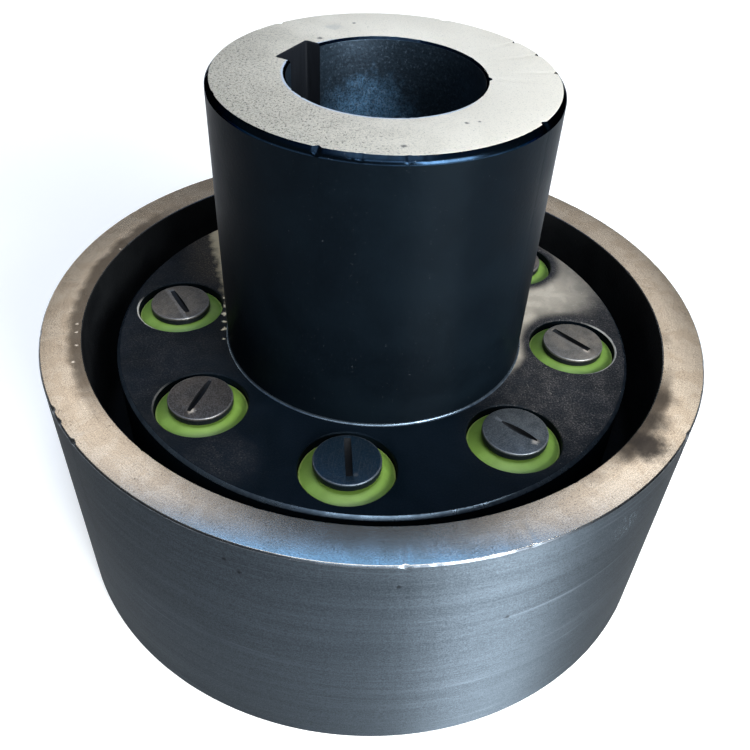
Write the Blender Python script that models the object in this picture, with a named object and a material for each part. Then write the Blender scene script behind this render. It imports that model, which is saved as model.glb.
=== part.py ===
# Pin and bush coupling with a brake drum.
# A keyed hub half drives a keyed drum half through a ring of pins. Each pin is seated by its
# taper in the drum's web and carries an elastic bush in a hole through the hub half's flange.
# Metres, +Z up along the shafts, origin on that axis in the plane of the drum's lower edge.

import bpy
import bmesh
from math import cos, pi, radians, sin, tan
from mathutils import Matrix

# Bore and key, the same in both halves
BORE_DIAMETER = 0.080
BORE_CHAMFER = 0.0021
KEY_WIDTH = 0.022
KEYWAY_RISE = 0.0054                 # keyway floor beyond the bore's wall
KEYWAY_ANGLE = radians(152)

# Hub half
HUB_DIAMETER = 0.144
HUB_HALF_LENGTH = 0.172
HUB_EDGE_CHAMFER = 0.0014
HUB_ROOT_FILLET = 0.0025
FLANGE_THICKNESS = 0.047
FLANGE_EDGE_CHAMFER = 0.0016
HUB_LAND = 0.0055                    # metal between the hub and a bush hole
FLANGE_LAND = 0.0055                 # metal between a bush hole and the flange's edge
BUSH_HOLE_DIAMETER = 0.042
BUSH_HOLE_CHAMFER = 0.0011

# Drum half
RIM_CLEARANCE = 0.0135               # open ring between the flange and the rim
RIM_WALL = 0.019
RIM_TOP_CHAMFER = 0.0009
RIM_FOOT_CHAMFER = 0.0025
RIM_INNER_CHAMFER = 0.0008
RIM_DRAFT = 0.0015                   # how far the cast skirt opens towards its lower edge
FLANGE_RECESS = 0.012                # flange face below the rim's top
HALF_GAP = 0.005                     # end gap between the two halves
WEB_THICKNESS = 0.032
UNDER_WEB_DEPTH = 0.036
WEB_TOP_FILLET = 0.006
WEB_CAST_FILLET = 0.008
BOSS_NUT_ROOM = 0.0046              # for a socket, between a nut's corner and the boss's fillet
BOSS_RECESS = 0.0025                 # boss end above the drum's lower edge
BOSS_EDGE_CHAMFER = 0.0015

# Pins
PIN_COUNT = 8
FIRST_PIN_ANGLE = radians(175.5)
THREAD_DIAMETER = 0.016
THREAD_END_CHAMFER = 0.001
THREAD_PROUD = 0.0025                # thread beyond the nut
TAPER_END_STEP = 0.0004              # taper's small end outside the thread
TAPER_RATIO = 0.1                    # on the diameter
HEAD_OVERHANG = 0.0045               # head beyond the shank
HEAD_THICKNESS = 0.0036
HEAD_EDGE_CHAMFER = 0.0005
HEAD_STAND = 0.0026                  # head's top above the flange face
SLOT_WIDTH = 0.0024
SLOT_LENGTH = 0.0205
SLOT_DEPTH = 0.0020
SLOT_TURNS = (122, 76, 92, 145, 141, 64, 18, 103)    # degrees from +X, as each pin came to rest

# Bushes, collars, spring washers and nuts
BUSH_BEVEL_FALL = 0.0043
BUSH_SHOULDER_STEP = 0.0004          # bevel's inner edge inside the head's edge
BUSH_GROOVE_COUNT = 2
BUSH_GROOVE_DEPTH = 0.0018
BUSH_GROOVE_WIDTH = 0.0045
COLLAR_THICKNESS = 0.007
COLLAR_CLEARANCE = 0.004             # between a collar and the wall of its bush hole
WASHER_THICKNESS = 0.004
WASHER_SECTION_WIDTH = 0.0038
WASHER_SLIT_WIDTH = 0.0022
NUT_HEIGHT = 0.014
NUT_WALL = 0.0037                    # from the nut's bore to the middle of a flat
NUT_FACE_CHAMFER = 0.0009
NUT_CHAMFER_ANGLE = radians(30)
NUT_TURN_STEP = radians(17)          # how much further each nut has turned than the last

# Fits and facets
SEAT_GAP = 0.0003
CUT_MARGIN = 0.004
MOUTH_MARGIN = 0.001
BODY_FACETS = 60
HOLE_FACETS = 24
PIN_FACETS = 16
FASTENER_FACETS = 12
SLOT_DISC_FACETS = 48
FILLET_STEPS = 3
SMOOTH_BELOW = radians(32)

# Heights above the drum's lower edge
web_bottom = UNDER_WEB_DEPTH
web_top = web_bottom + WEB_THICKNESS
flange_bottom = web_top + HALF_GAP
flange_top = flange_bottom + FLANGE_THICKNESS
rim_top = flange_top + FLANGE_RECESS
head_top = flange_top + HEAD_STAND
head_bottom = head_top - HEAD_THICKNESS
collar_bottom = web_top + SEAT_GAP
bush_bottom = collar_bottom + COLLAR_THICKNESS + SEAT_GAP
bush_length = head_bottom - SEAT_GAP - bush_bottom
washer_bottom = web_bottom - SEAT_GAP - WASHER_THICKNESS
nut_bottom = washer_bottom - SEAT_GAP - NUT_HEIGHT
thread_end = nut_bottom - THREAD_PROUD

# Radii from the shafts' axis
bore_radius = BORE_DIAMETER / 2
hub_radius = HUB_DIAMETER / 2
bush_hole_radius = BUSH_HOLE_DIAMETER / 2
pin_circle_radius = hub_radius + HUB_LAND + bush_hole_radius
flange_radius = pin_circle_radius + bush_hole_radius + FLANGE_LAND
rim_inner_radius = flange_radius + RIM_CLEARANCE
rim_outer_radius = rim_inner_radius + RIM_WALL

# Radii from a pin's axis
thread_radius = THREAD_DIAMETER / 2
thread_hole_radius = thread_radius + SEAT_GAP
taper_end_radius = thread_radius + TAPER_END_STEP
shank_radius = taper_end_radius + WEB_THICKNESS * TAPER_RATIO / 2
shank_hole_radius = shank_radius + SEAT_GAP
head_radius = shank_radius + HEAD_OVERHANG
bush_radius = bush_hole_radius - SEAT_GAP
collar_radius = bush_hole_radius - COLLAR_CLEARANCE
washer_radius = thread_hole_radius + WASHER_SECTION_WIDTH
nut_flat_radius = thread_hole_radius + NUT_WALL
nut_corner_radius = nut_flat_radius / cos(pi / 6)

# The boss stands clear of the nuts around it
boss_radius = pin_circle_radius - nut_corner_radius - BOSS_NUT_ROOM - WEB_CAST_FILLET


def clear_scene():
    for item in list(bpy.data.objects):
        bpy.data.objects.remove(item)


def principled(name, colour, roughness, metallic):
    material = bpy.data.materials.new(name)
    material.use_nodes = True
    material.diffuse_color = (*colour, 1)
    shader = material.node_tree.nodes["Principled BSDF"]
    shader.inputs["Base Color"].default_value = (*colour, 1)
    shader.inputs["Roughness"].default_value = roughness
    shader.inputs["Metallic"].default_value = metallic
    return material


def arc(centre, radius, start, end):
    """Points of a fillet in a profile's plane, both ends included."""
    angles = [start + (end - start) * i / FILLET_STEPS for i in range(FILLET_STEPS + 1)]
    return [(centre[0] + radius * cos(a), centre[1] + radius * sin(a)) for a in angles]


def finished_mesh(bm, name):
    """Turns a bmesh into a mesh with outward faces, smooth except at its sharp edges."""
    bmesh.ops.remove_doubles(bm, verts=bm.verts, dist=1e-6)
    bmesh.ops.recalc_face_normals(bm, faces=bm.faces)
    mesh = bpy.data.meshes.new(name)
    bm.to_mesh(mesh)
    bm.free()
    mesh.shade_smooth()
    mesh.set_sharp_from_angle(angle=SMOOTH_BELOW)
    return mesh


def spin_profile(bm, profile, facets, ring, turn):
    """Spins (radius, height) points about Z. A ring's points form a closed loop."""
    points = [bm.verts.new((radius, 0, height)) for radius, height in profile]
    followers = points[1:] + points[:1] if ring else points[1:]
    edges = [bm.edges.new(pair) for pair in zip(points, followers)]
    whole = turn >= 2 * pi
    bmesh.ops.spin(bm, geom=points + edges, cent=(0, 0, 0), axis=(0, 0, 1),
                   angle=turn, steps=facets, use_merge=whole, use_duplicate=False)
    if not whole:
        rims = [edge for edge in bm.edges if edge.is_boundary]
        bmesh.ops.holes_fill(bm, edges=rims, sides=0)


def turned(name, profile, facets, ring=False, turn=2 * pi):
    bm = bmesh.new()
    spin_profile(bm, profile, facets, ring, turn)
    return finished_mesh(bm, name)


def ring_of_turnings(name, profile, facets):
    """One mesh of equal turned shapes, one at each pin's place."""
    bm = bmesh.new()
    for number in range(PIN_COUNT):
        before = set(bm.verts)
        spin_profile(bm, profile, facets, ring=False, turn=2 * pi)
        added = [vert for vert in bm.verts if vert not in before]
        bmesh.ops.translate(bm, verts=added, vec=pin_place(number))
    return finished_mesh(bm, name)


def pin_angle(number):
    return FIRST_PIN_ANGLE + 2 * pi * number / PIN_COUNT


def pin_place(number):
    angle = pin_angle(number)
    return (pin_circle_radius * cos(angle), pin_circle_radius * sin(angle), 0)


def add_object(name, mesh, parent=None, height=0.0, turn=0.0):
    item = bpy.data.objects.new(name, mesh)
    bpy.context.scene.collection.objects.link(item)
    item.parent = parent
    item.location.z = height
    item.rotation_euler.z = turn
    return item


def cut(target, name, mesh, turn=0.0):
    """Takes a hidden shape, placed in the target's own frame, out of the target."""
    shape = add_object(name, mesh, parent=target, turn=turn)
    shape.hide_render = True
    shape.display_type = "WIRE"
    step = target.modifiers.new(name, "BOOLEAN")
    step.operation = "DIFFERENCE"
    step.solver = "EXACT"
    step.object = shape
    return shape


def keyway_mesh(name, low, high):
    """A bar from the axis to the keyway's floor, along X before it is turned."""
    depth = bore_radius + KEYWAY_RISE
    bm = bmesh.new()
    bmesh.ops.create_cube(bm, size=1)
    bmesh.ops.scale(bm, verts=bm.verts, vec=(depth, KEY_WIDTH, high - low))
    bmesh.ops.translate(bm, verts=bm.verts, vec=(depth / 2, 0, (high + low) / 2))
    return finished_mesh(bm, name)


# The drum half: rim, web and boss cast in one, then turned

def drum_half_profile():
    cast = WEB_CAST_FILLET
    mouth_radius = rim_inner_radius + RIM_DRAFT
    return [
        (bore_radius, BOSS_RECESS + BORE_CHAMFER),
        (bore_radius + BORE_CHAMFER, BOSS_RECESS),
        (boss_radius - BOSS_EDGE_CHAMFER, BOSS_RECESS),
        (boss_radius, BOSS_RECESS + BOSS_EDGE_CHAMFER),
        *arc((boss_radius + cast, web_bottom - cast), cast, pi, pi / 2),
        *arc((rim_inner_radius - cast, web_bottom - cast), cast, pi / 2, 0),
        (mouth_radius, RIM_INNER_CHAMFER),
        (mouth_radius + RIM_INNER_CHAMFER, 0),
        (rim_outer_radius - RIM_FOOT_CHAMFER, 0),
        (rim_outer_radius, RIM_FOOT_CHAMFER),
        (rim_outer_radius, rim_top - RIM_TOP_CHAMFER),
        (rim_outer_radius - RIM_TOP_CHAMFER, rim_top),
        (rim_inner_radius + RIM_INNER_CHAMFER, rim_top),
        (rim_inner_radius, rim_top - RIM_INNER_CHAMFER),
        *arc((rim_inner_radius - WEB_TOP_FILLET, web_top + WEB_TOP_FILLET),
             WEB_TOP_FILLET, 0, -pi / 2),
        (bore_radius + BORE_CHAMFER, web_top),
        (bore_radius, web_top - BORE_CHAMFER),
    ]


def taper_seat_profile():
    """A pin's seat through the web, carried on past both faces."""
    top_radius = shank_hole_radius + CUT_MARGIN * TAPER_RATIO / 2
    low_radius = taper_end_radius + SEAT_GAP - CUT_MARGIN * TAPER_RATIO / 2
    return [
        (0, web_top + CUT_MARGIN),
        (top_radius, web_top + CUT_MARGIN),
        (low_radius, web_bottom - CUT_MARGIN),
        (0, web_bottom - CUT_MARGIN),
    ]


def make_drum_half(parent):
    mesh = turned("brake_drum_half", drum_half_profile(), BODY_FACETS, ring=True)
    mesh.materials.append(principled("turned_drum_steel", (0.33, 0.36, 0.39), 0.38, 1.0))
    drum = add_object("brake_drum_half", mesh, parent)
    cut(drum, "taper_seats", ring_of_turnings("taper_seats", taper_seat_profile(), PIN_FACETS))
    keyway = keyway_mesh("drum_keyway", BOSS_RECESS - CUT_MARGIN, web_top + CUT_MARGIN)
    cut(drum, "drum_keyway", keyway, turn=KEYWAY_ANGLE)


# The hub half: flange and long hub in one, heights from its inner face

def hub_half_profile():
    root = (hub_radius + HUB_ROOT_FILLET, FLANGE_THICKNESS + HUB_ROOT_FILLET)
    return [
        (bore_radius, BORE_CHAMFER),
        (bore_radius + BORE_CHAMFER, 0),
        (flange_radius - FLANGE_EDGE_CHAMFER, 0),
        (flange_radius, FLANGE_EDGE_CHAMFER),
        (flange_radius, FLANGE_THICKNESS - FLANGE_EDGE_CHAMFER),
        (flange_radius - FLANGE_EDGE_CHAMFER, FLANGE_THICKNESS),
        *arc(root, HUB_ROOT_FILLET, -pi / 2, -pi),
        (hub_radius, HUB_HALF_LENGTH - HUB_EDGE_CHAMFER),
        (hub_radius - HUB_EDGE_CHAMFER, HUB_HALF_LENGTH),
        (bore_radius + BORE_CHAMFER, HUB_HALF_LENGTH),
        (bore_radius, HUB_HALF_LENGTH - BORE_CHAMFER),
    ]


def bush_hole_profile():
    """A straight hole through the flange with a bevelled upper mouth."""
    mouth_radius = bush_hole_radius + BUSH_HOLE_CHAMFER + MOUTH_MARGIN
    return [
        (0, FLANGE_THICKNESS + MOUTH_MARGIN),
        (mouth_radius, FLANGE_THICKNESS + MOUTH_MARGIN),
        (bush_hole_radius, FLANGE_THICKNESS - BUSH_HOLE_CHAMFER),
        (bush_hole_radius, -CUT_MARGIN),
        (0, -CUT_MARGIN),
    ]


def make_hub_half(parent):
    mesh = turned("hub_half", hub_half_profile(), BODY_FACETS, ring=True)
    mesh.materials.append(principled("black_hub_paint", (0.012, 0.014, 0.018), 0.35, 0.0))
    hub = add_object("hub_half", mesh, parent, height=flange_bottom)
    cut(hub, "bush_holes", ring_of_turnings("bush_holes", bush_hole_profile(), HOLE_FACETS))
    keyway = keyway_mesh("hub_keyway", -CUT_MARGIN, HUB_HALF_LENGTH + CUT_MARGIN)
    cut(hub, "hub_keyway", keyway, turn=KEYWAY_ANGLE)


# A pin: slotted head, plain shank, taper and thread, heights from the web's upper face

def pin_profile():
    top = head_top - web_top
    end = thread_end - web_top
    return [
        (0, top),
        (head_radius - HEAD_EDGE_CHAMFER, top),
        (head_radius, top - HEAD_EDGE_CHAMFER),
        (head_radius, top - HEAD_THICKNESS),
        (shank_radius, top - HEAD_THICKNESS),
        (shank_radius, 0),
        (taper_end_radius, -WEB_THICKNESS),
        (thread_radius, -WEB_THICKNESS),
        (thread_radius, end + THREAD_END_CHAMFER),
        (thread_radius - THREAD_END_CHAMFER, end),
        (0, end),
    ]


def slot_disc_mesh():
    """The slitting saw's disc: its edge leaves a slot along X, deepest in the middle."""
    radius = (SLOT_LENGTH ** 2 / 4 + SLOT_DEPTH ** 2) / (2 * SLOT_DEPTH)
    height = head_top - web_top - SLOT_DEPTH + radius
    bm = bmesh.new()
    bmesh.ops.create_cone(bm, cap_ends=True, segments=SLOT_DISC_FACETS,
                          radius1=radius, radius2=radius, depth=SLOT_WIDTH)
    bmesh.ops.rotate(bm, verts=bm.verts, cent=(0, 0, 0), matrix=Matrix.Rotation(pi / 2, 3, "X"))
    bmesh.ops.translate(bm, verts=bm.verts, vec=(0, 0, height))
    return finished_mesh(bm, "slot_disc")


def slotted_pin_mesh():
    """The pin's mesh with its slot already cut, so that every pin can share it."""
    blank = add_object("pin_blank", turned("pin_blank", pin_profile(), PIN_FACETS))
    disc = cut(blank, "slot_disc", slot_disc_mesh())
    bpy.context.view_layer.update()
    graph = bpy.context.evaluated_depsgraph_get()
    mesh = bpy.data.meshes.new_from_object(blank.evaluated_get(graph))
    mesh.name = "pin"
    bpy.data.objects.remove(disc)
    bpy.data.objects.remove(blank)
    return mesh


# What each pin carries

def bush_profile():
    """Bevelled at both ends, with grooves between crests that fill the hole."""
    shoulder = head_radius - BUSH_SHOULDER_STEP
    crest_low = BUSH_BEVEL_FALL
    crest_high = bush_length - BUSH_BEVEL_FALL
    points = [(shank_hole_radius, 0), (shoulder, 0), (bush_radius, crest_low)]
    for number in range(1, BUSH_GROOVE_COUNT + 1):
        middle = crest_low + (crest_high - crest_low) * number / (BUSH_GROOVE_COUNT + 1)
        points += [
            (bush_radius, middle - BUSH_GROOVE_WIDTH / 2),
            (bush_radius - BUSH_GROOVE_DEPTH, middle),
            (bush_radius, middle + BUSH_GROOVE_WIDTH / 2),
        ]
    points += [(bush_radius, crest_high), (shoulder, bush_length), (shank_hole_radius, bush_length)]
    return points


def plain_ring_profile(inner, outer, thickness):
    return [(inner, 0), (outer, 0), (outer, thickness), (inner, thickness)]


def spring_washer_mesh():
    middle_radius = (thread_hole_radius + washer_radius) / 2
    turn = 2 * pi - WASHER_SLIT_WIDTH / middle_radius
    profile = plain_ring_profile(thread_hole_radius, washer_radius, WASHER_THICKNESS)
    return turned("spring_washer", profile, FASTENER_FACETS, ring=True, turn=turn)


def hexagon_radius(angle):
    """Distance from a nut's axis to its side, which is a corner at angle 0."""
    return nut_flat_radius / cos(angle % (pi / 3) - pi / 6)


def nut_outline(angle):
    """Section of the nut at one angle: its bore's flats clear the thread."""
    bore = thread_hole_radius / cos(pi / FASTENER_FACETS)
    face = nut_flat_radius - NUT_FACE_CHAMFER
    side = hexagon_radius(angle)
    fall = (side - face) * tan(NUT_CHAMFER_ANGLE)
    return [
        (bore, 0),
        (face, 0),
        (side, fall),
        (side, NUT_HEIGHT - fall),
        (face, NUT_HEIGHT),
        (bore, NUT_HEIGHT),
    ]


def nut_mesh():
    bm = bmesh.new()
    sections = []
    for number in range(FASTENER_FACETS):
        angle = 2 * pi * number / FASTENER_FACETS
        sections.append([bm.verts.new((radius * cos(angle), radius * sin(angle), height))
                         for radius, height in nut_outline(angle)])
    for here, there in zip(sections, sections[1:] + sections[:1]):
        for i in range(len(here)):
            bm.faces.new((here[i - 1], there[i - 1], there[i], here[i]))
    return finished_mesh(bm, "pin_nut")


def make_pin_stations(parent):
    """Every pin with its bush, collar, spring washer and nut, on an empty at the pin's axis."""
    steel = principled("pin_steel", (0.30, 0.27, 0.25), 0.45, 1.0)
    pin = slotted_pin_mesh()
    bush = turned("elastic_bush", bush_profile(), PIN_FACETS, ring=True)
    collar = turned("bush_collar", plain_ring_profile(shank_hole_radius, collar_radius,
                                                      COLLAR_THICKNESS), PIN_FACETS, ring=True)
    washer = spring_washer_mesh()
    nut = nut_mesh()
    pin.materials.append(steel)
    bush.materials.append(principled("elastic_bush_green", (0.28, 0.47, 0.05), 0.45, 0.0))
    collar.materials.append(principled("collar_steel", (0.36, 0.36, 0.37), 0.40, 1.0))
    washer.materials.append(principled("washer_spring_steel", (0.12, 0.12, 0.13), 0.40, 1.0))
    nut.materials.append(principled("nut_steel", (0.30, 0.30, 0.31), 0.42, 1.0))
    for number in range(PIN_COUNT):
        label = number + 1
        station = add_object(f"pin_station_{label}", None, parent)
        station.location = pin_place(number)
        slot_turn = radians(SLOT_TURNS[number % len(SLOT_TURNS)])
        add_object(f"pin_{label}", pin, station, height=web_top, turn=slot_turn)
        add_object(f"elastic_bush_{label}", bush, station, height=bush_bottom)
        add_object(f"bush_collar_{label}", collar, station, height=collar_bottom)
        nut_turn = NUT_TURN_STEP * number
        add_object(f"spring_washer_{label}", washer, station, height=washer_bottom,
                   turn=-nut_turn)
        add_object(f"pin_nut_{label}", nut, station, height=nut_bottom, turn=nut_turn)


def main():
    clear_scene()
    coupling = add_object("coupling", None)
    make_drum_half(coupling)
    make_hub_half(coupling)
    make_pin_stations(coupling)
    bpy.context.view_layer.update()


main()
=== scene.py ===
from math import atan2, cos, degrees, pi, radians, sin, sqrt, tan

import bmesh
import bpy
import numpy as np
from mathutils import Matrix, Vector


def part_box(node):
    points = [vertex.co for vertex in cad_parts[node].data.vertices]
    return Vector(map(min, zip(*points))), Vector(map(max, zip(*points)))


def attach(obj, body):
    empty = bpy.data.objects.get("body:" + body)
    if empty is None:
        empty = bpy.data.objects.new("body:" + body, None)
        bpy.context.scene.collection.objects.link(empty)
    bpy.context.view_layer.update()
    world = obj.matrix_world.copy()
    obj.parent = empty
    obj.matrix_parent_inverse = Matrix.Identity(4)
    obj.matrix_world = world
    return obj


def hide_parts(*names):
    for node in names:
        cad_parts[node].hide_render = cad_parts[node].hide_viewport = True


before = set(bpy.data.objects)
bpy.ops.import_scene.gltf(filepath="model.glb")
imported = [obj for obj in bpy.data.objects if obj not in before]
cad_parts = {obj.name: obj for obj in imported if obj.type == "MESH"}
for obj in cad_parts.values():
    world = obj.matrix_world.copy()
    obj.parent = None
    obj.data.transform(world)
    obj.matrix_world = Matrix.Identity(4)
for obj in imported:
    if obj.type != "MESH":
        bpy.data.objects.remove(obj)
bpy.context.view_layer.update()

# A pin and bush coupling: brake drum half, hub half, and eight pins in elastic bushes.
# Lengths in the settings are millimetres, and the axis of the coupling is Z.

mm = 0.001
pinCount = 8


def nodeBox(node):
    low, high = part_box(node)
    return low / mm, high / mm


drumLow, drumHigh = nodeBox("brake_drum_half")
hubLow, hubHigh = nodeBox("hub_half")
pinBoxes = [nodeBox(f"pin_{number}") for number in range(1, pinCount + 1)]
pinPlaces = [(low + high) / 2 for low, high in pinBoxes]
pinMoves = [Matrix.Translation((place.x * mm, place.y * mm, 0)) for place in pinPlaces]
pinCircle = pinPlaces[0].xy.length
firstPinAngle = degrees(atan2(pinPlaces[0].y, pinPlaces[0].x))


# Mesh helpers

def roundedOutline(corners, steps=3):
    # corners are (radius, height, rounding, finish), anticlockwise; the finish is that of the edge after it
    points = []
    for index, (radius, height, rounding, finish) in enumerate(corners):
        here = Vector((radius, height))
        if not rounding:
            points.append((radius, height, finish))
            continue
        before = (Vector(corners[index - 1][:2]) - here).normalized()
        after = (Vector(corners[(index + 1) % len(corners)][:2]) - here).normalized()
        half = before.angle(after) / 2
        centre = here + (before + after).normalized() * rounding / sin(half)
        first = here + before * rounding / tan(half) - centre
        last = here + after * rounding / tan(half) - centre
        sweep = atan2(first.x * last.y - first.y * last.x, first.dot(last))
        for step in range(steps + 1):
            turn = sweep * step / steps
            arm = Vector((first.x * cos(turn) - first.y * sin(turn), first.x * sin(turn) + first.y * cos(turn)))
            points.append((centre.x + arm.x, centre.y + arm.y, finish))
    return points


def turnedMesh(name, outline, turns, finishes, shape=None):
    # spins a closed outline round Z; shape(radius, height, angle) may move each point
    vertices, faces, slots, names = [], [], [], list(finishes)
    size = len(outline)
    for turn in range(turns):
        angle = 2 * pi * turn / turns
        for radius, height, finish in outline:
            if shape:
                radius, height = shape(radius, height, angle)
            vertices.append((radius * cos(angle) * mm, radius * sin(angle) * mm, height * mm))
    for turn in range(turns):
        here, there = turn * size, (turn + 1) % turns * size
        for index in range(size):
            following = (index + 1) % size
            faces.append((here + index, there + index, there + following, here + following))
            slots.append(names.index(outline[index][2]))
    mesh = bpy.data.meshes.new(name)
    mesh.from_pydata(vertices, [], faces)
    mesh.polygons.foreach_set("material_index", slots)
    for finish in finishes.values():
        mesh.materials.append(finish)
    if min(radius for radius, height, finish in outline) < 1e-6:
        bm = bmesh.new()
        bm.from_mesh(mesh)
        bmesh.ops.remove_doubles(bm, verts=bm.verts, dist=1e-7)
        bm.to_mesh(mesh)
        bm.free()
    return mesh


def newObject(name, mesh):
    made = bpy.data.objects.new(name, mesh)
    bpy.context.scene.collection.objects.link(made)
    return made


def cutAway(piece, cutter):
    # takes the cutter's shape out of the piece; its walls keep the cutter's finish numbers
    modifier = piece.modifiers.new("cut", "BOOLEAN")
    modifier.operation = "DIFFERENCE"
    modifier.solver = "EXACT"
    modifier.material_mode = "INDEX"
    modifier.object = cutter
    graph = bpy.context.evaluated_depsgraph_get()
    mesh = bpy.data.meshes.new_from_object(piece.evaluated_get(graph))
    piece.modifiers.clear()
    piece.data = mesh
    bpy.data.objects.remove(cutter)


def finishedCutter(name, bm, finishes, finish, turn):
    for face in bm.faces:
        face.material_index = list(finishes).index(finish)
    bmesh.ops.recalc_face_normals(bm, faces=bm.faces)
    bmesh.ops.rotate(bm, verts=bm.verts, matrix=Matrix.Rotation(turn, 3, "Z"))
    mesh = bpy.data.meshes.new(name)
    bm.to_mesh(mesh)
    bm.free()
    for material in finishes.values():
        mesh.materials.append(material)
    return newObject(name, mesh)


def joinedCopies(name, mesh, places):
    # one mesh made of copies of another, for a cutter with many teeth
    bm = bmesh.new()
    for place in places:
        start = len(bm.verts)
        bm.from_mesh(mesh)
        bm.verts.ensure_lookup_table()
        bmesh.ops.transform(bm, matrix=place, verts=bm.verts[start:])
    joined = bpy.data.meshes.new(name)
    bm.to_mesh(joined)
    bm.free()
    for material in mesh.materials:
        joined.materials.append(material)
    return joined


def dressed(piece, node, edgeAngle=32):
    # gives the piece its shading, and puts it in the place of its CAD node
    piece.data.shade_smooth()
    piece.data.set_sharp_from_angle(angle=radians(edgeAngle))
    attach(piece, "root")
    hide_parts(node)
    return piece


def edgeNicks(seed, count, depth, width, placed=()):
    # small knocks round an edge: angle, depth and half width of each, the placed ones in degrees and millimetres
    random = np.random.default_rng(seed)
    angles = random.uniform(-pi, pi, count)
    depths = depth * random.uniform(0.1, 1, count) ** 2
    widths = width * random.uniform(0.4, 1, count)
    nicks = list(zip(angles, depths, widths)) + [(radians(a), d, w) for a, d, w in placed]

    def nickAt(angle, radius):
        deepest = 0
        for place, size, half in nicks:
            away = abs((angle - place + pi) % (2 * pi) - pi) * radius / half
            if away < 1:
                deepest = max(deepest, size * (1 - away * away))
        return deepest
    return nickAt


# Shader helpers

class Value:
    # one output of a node, which plain arithmetic works on
    def __init__(self, tree, socket):
        self.tree, self.socket = tree, socket

    def __add__(self, other):
        return calc("ADD", self, other)

    def __sub__(self, other):
        return calc("SUBTRACT", self, other)

    def __rsub__(self, other):
        return calc("SUBTRACT", other, self)

    def __mul__(self, other):
        return calc("MULTIPLY", self, other)

    def __truediv__(self, other):
        return calc("DIVIDE", self, other)

    def __rtruediv__(self, other):
        return calc("DIVIDE", other, self)


def newNode(tree, kind, inputs, **settings):
    # inputs are constants, colours as red, green and blue, or values of other nodes
    made = tree.nodes.new("ShaderNode" + kind)
    for name, value in settings.items():
        setattr(made, name, value)
    for name, value in inputs.items():
        socket = made.inputs[name]
        if isinstance(value, Value):
            tree.links.new(value.socket, socket)
        else:
            socket.default_value = (*value, 1) if socket.type == "RGBA" else value
    return made


def addNode(tree, kind, inputs=None, output=0, **settings):
    return Value(tree, newNode(tree, kind, inputs or {}, **settings).outputs[output])


def calc(operation, *values):
    tree = next(value.tree for value in values if isinstance(value, Value))
    return addNode(tree, "Math", dict(enumerate(values)), operation=operation)


def vector(operation, first, second, output=0):
    return addNode(first.tree, "VectorMath", {0: first, 1: second}, output, operation=operation)


def ease(value, low, high, toLow=0, toHigh=1):
    return addNode(value.tree, "MapRange", {"Value": value, "From Min": low, "From Max": high, "To Min": toLow,
                                            "To Max": toHigh}, "Result", interpolation_type="SMOOTHSTEP")


def mixed(factor, first, second, mode="MIX"):
    return addNode(factor.tree, "Mix", {0: factor, 6: first, 7: second}, 2, data_type="RGBA", blend_type=mode)


def noise(place, scale, detail=2, roughness=0.5, distortion=0):
    return addNode(place.tree, "TexNoise", {"Vector": place, "Scale": scale, "Detail": detail,
                                            "Roughness": roughness, "Distortion": distortion})


def axesOf(place):
    made = newNode(place.tree, "SeparateXYZ", {0: place})
    return [Value(place.tree, socket) for socket in made.outputs]


def rotated(place, angle):
    return addNode(place.tree, "VectorRotate", {"Vector": place, "Angle": angle}, rotation_type="Z_AXIS")


# Effects that several finishes share; places are millimetres from the piece's own origin

def sharedEffect(**defaults):
    # makes a node group of the function below it, and turns that function into one that adds the group to a material
    def build(effect):
        group = bpy.data.node_groups.new(effect.__name__, "ShaderNodeTree")
        names = ["place", *defaults]
        for name in names:
            default = defaults.get(name, (0, 0, 0))
            kind = "NodeSocketVector" if isinstance(default, tuple) else "NodeSocketFloat"
            group.interface.new_socket(name, in_out="INPUT", socket_type=kind).default_value = default
        given = group.nodes.new("NodeGroupInput").outputs
        results = effect(*(Value(group, given[name]) for name in names))
        results = {"Value": results} if isinstance(results, Value) else results
        for name in results:
            group.interface.new_socket(name, in_out="OUTPUT", socket_type="NodeSocketFloat")
        end = group.nodes.new("NodeGroupOutput")
        for name, value in results.items():
            group.links.new(value.socket, end.inputs[name])

        def use(place, **values):
            made = newNode(place.tree, "Group", {"place": place, **values}, node_tree=group)
            found = [Value(place.tree, made.outputs[name]) for name in results]
            return found if len(found) > 1 else found[0]
        return use
    return build


@sharedEffect()
def ringPlace(place):
    # distance from the axis, height, and degrees round from X
    x, y, z = axesOf(place)
    return {"Radius": calc("SQRT", x * x + y * y), "Height": z, "Turn": calc("ARCTAN2", y, x) * (180 / pi)}


@sharedEffect(size=1, amount=0.1, softness=0.06)
def specks(place, size, amount, softness):
    # small ragged spots; amount is about the share of the surface they take
    level = 0.66 - amount * 0.4
    return ease(noise(place, 1 / size, 5, 0.72), level, level + softness)


@sharedEffect(size=20, contrast=0.5)
def mottle(place, size, contrast):
    # broad soft patches from 0 to 1
    reach = 0.5 - contrast * 0.45
    return ease(noise(place, 1 / size, 4, 0.55, 0.4), reach, 1 - reach)


@sharedEffect(across=0, spacing=1, breaks=2)
def turningLines(place, across, spacing, breaks):
    # the fine lines a lathe tool leaves round the axis; across is the radius or the height they change with
    flat = vector("MULTIPLY", place, (1, 1, 0))
    around = addNode(place.tree, "VectorMath", {0: flat}, operation="NORMALIZE")
    around = addNode(place.tree, "VectorMath", {0: around, "Scale": breaks}, operation="SCALE")
    step = addNode(place.tree, "CombineXYZ", {2: across / spacing})
    return noise(vector("ADD", around, step), 1, 3, 0.65)


def shifted(place, grain, detail, amount):
    # a push either way, for a ragged border
    return (noise(place, 1 / grain, detail, 0.6) - 0.5) * amount


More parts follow.
